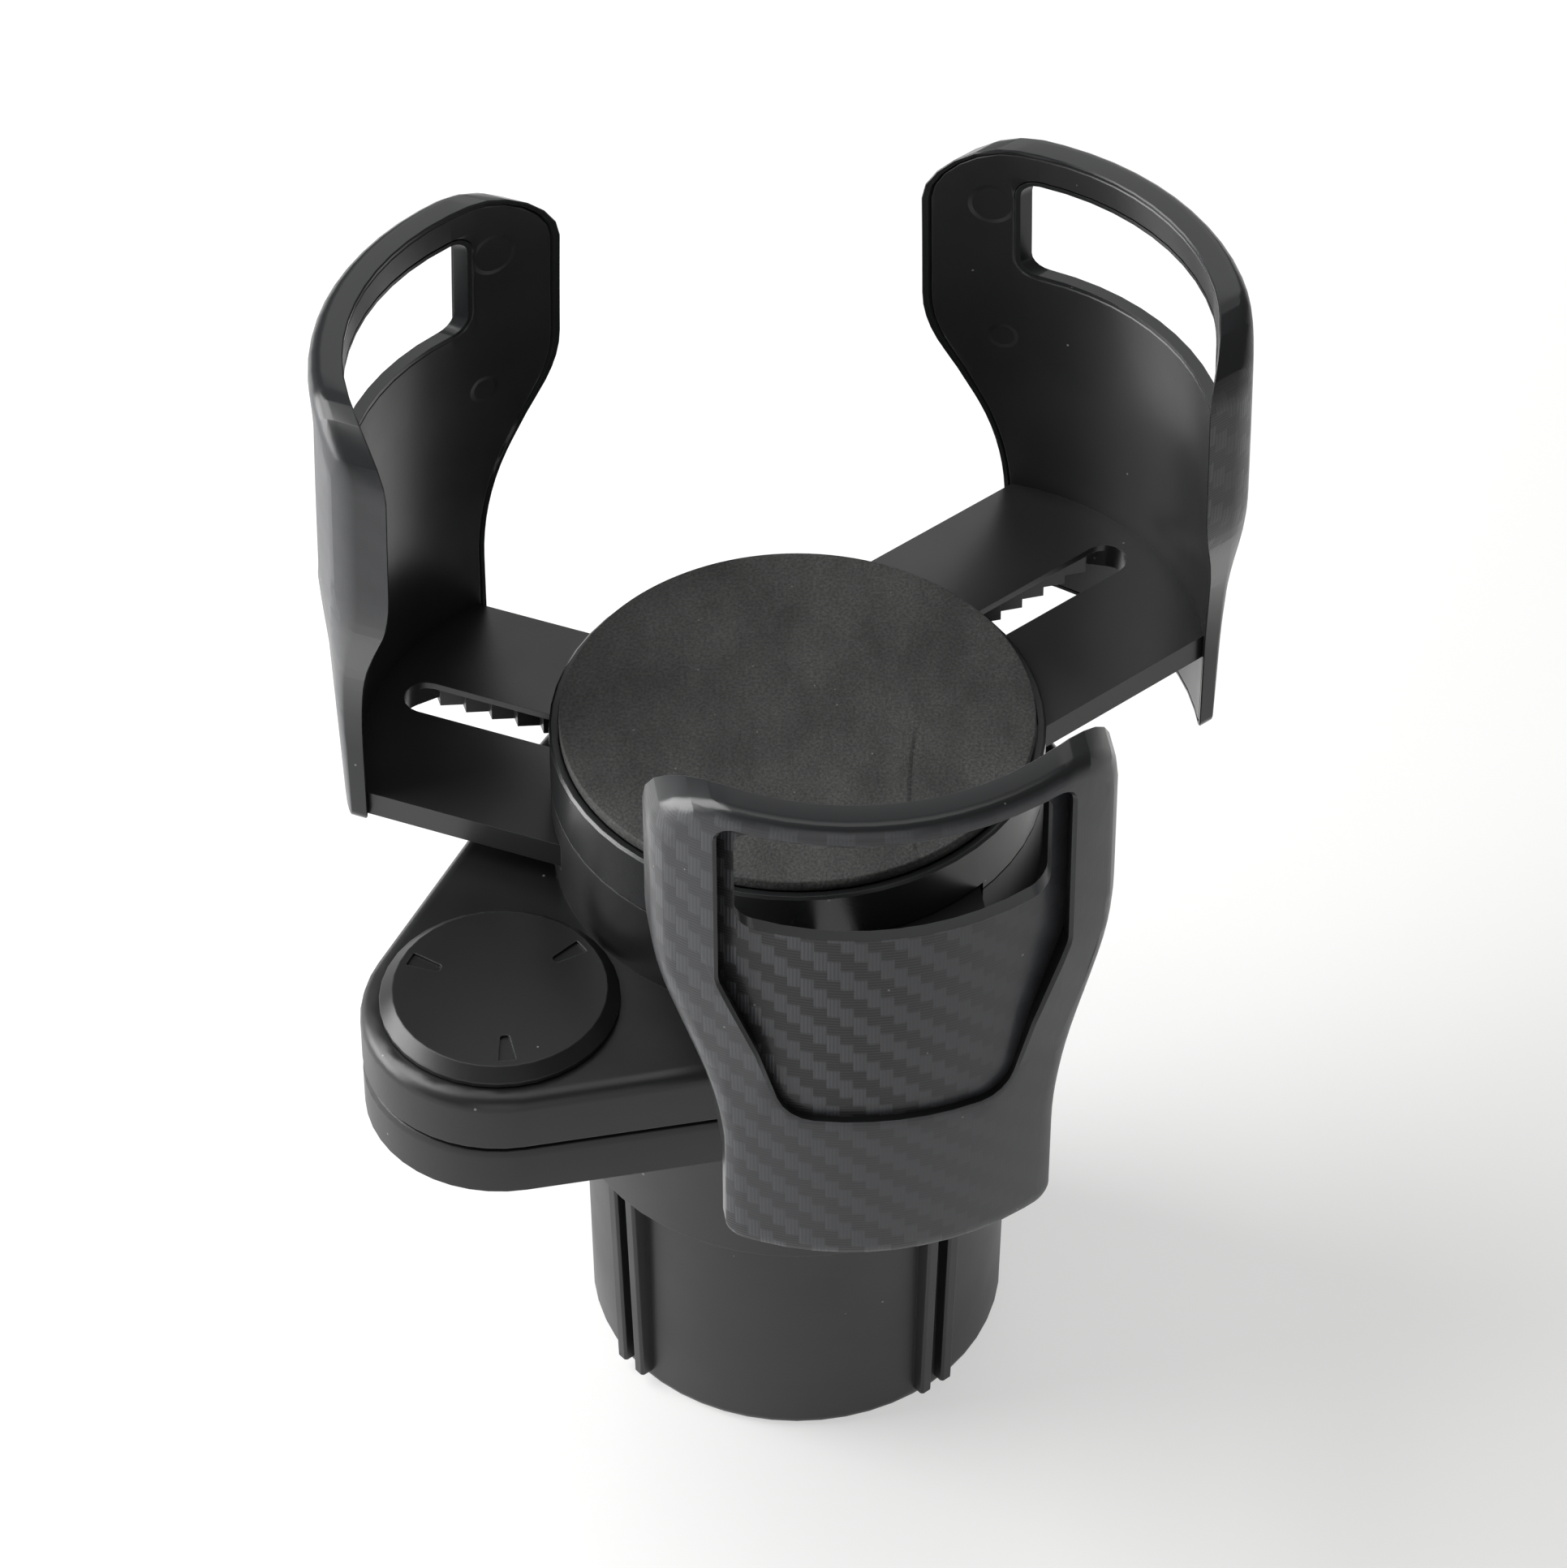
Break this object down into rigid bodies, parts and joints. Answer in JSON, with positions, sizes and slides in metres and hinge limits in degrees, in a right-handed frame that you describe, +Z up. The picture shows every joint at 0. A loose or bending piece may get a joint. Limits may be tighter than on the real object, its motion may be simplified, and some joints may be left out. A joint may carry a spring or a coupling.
{
  "type": "cup holder expander",
  "caption": "Cup holder expander: a ribbed base cup, a teardrop arm that swings an offset round tray, and sliding curved claws that grip a wide cup.",
  "frame": {"origin": "middle of the base cup's flat bottom", "axes": "+Z up along the base cup's axis, -Y towards the claw that is furthest out"},
  "size_m": [0.1409, 0.1548, 0.1922],
  "materials": {
    "base_plastic": "satin moulded black",
    "satin_plastic": "satin moulded black",
    "hub_plastic": "smooth semi-gloss black",
    "woven_plastic": "dark grey with a fine twill texture",
    "pad_rubber": "matt dark grey",
    "zinc_steel": "zinc plated"
  },
  "bodies": {
    "base": {"base_cup": "base_plastic", "lower_plate": "satin_plastic", "base_screw_1": "zinc_steel", "base_screw_2": "zinc_steel", "base_screw_3": "zinc_steel", "pivot_nut": "zinc_steel", "pivot_bolt": "zinc_steel", "pivot_washer": "zinc_steel"},
    "head": {"upper_plate": "satin_plastic", "hub_cap": "hub_plastic", "hub_screw": "zinc_steel", "tray_pad": "pad_rubber", "pivot_cap": "satin_plastic", "catch_left": "satin_plastic", "catch_front": "satin_plastic", "catch_right": "satin_plastic"},
    "claw_left": {"arm_left": "satin_plastic", "cover_left": "woven_plastic"},
    "claw_front": {"arm_front": "satin_plastic", "cover_front": "woven_plastic"},
    "claw_right": {"arm_right": "satin_plastic", "cover_right": "woven_plastic"}
  },
  "joints": [
    {"name": "offset_swing", "type": "hinge", "parent": "base", "child": "head", "pos_m": [-0.04529, -0.0351, 0], "axis": [0, 0, 1], "range_deg": [-180, 180]},
    {"name": "left_slide", "type": "slide", "parent": "head", "child": "claw_left", "axis": [-0.933, 0.36, 0], "range_m": [-0.0288, 0.0212]},
    {"name": "front_slide", "type": "slide", "parent": "head", "child": "claw_front", "axis": [0.1599, -0.9871, 0], "range_m": [-0.0459, 0.0041]},
    {"name": "right_slide", "type": "slide", "parent": "head", "child": "claw_right", "axis": [0.7749, 0.632, 0], "range_m": [-0.0288, 0.0212]}
  ]
}
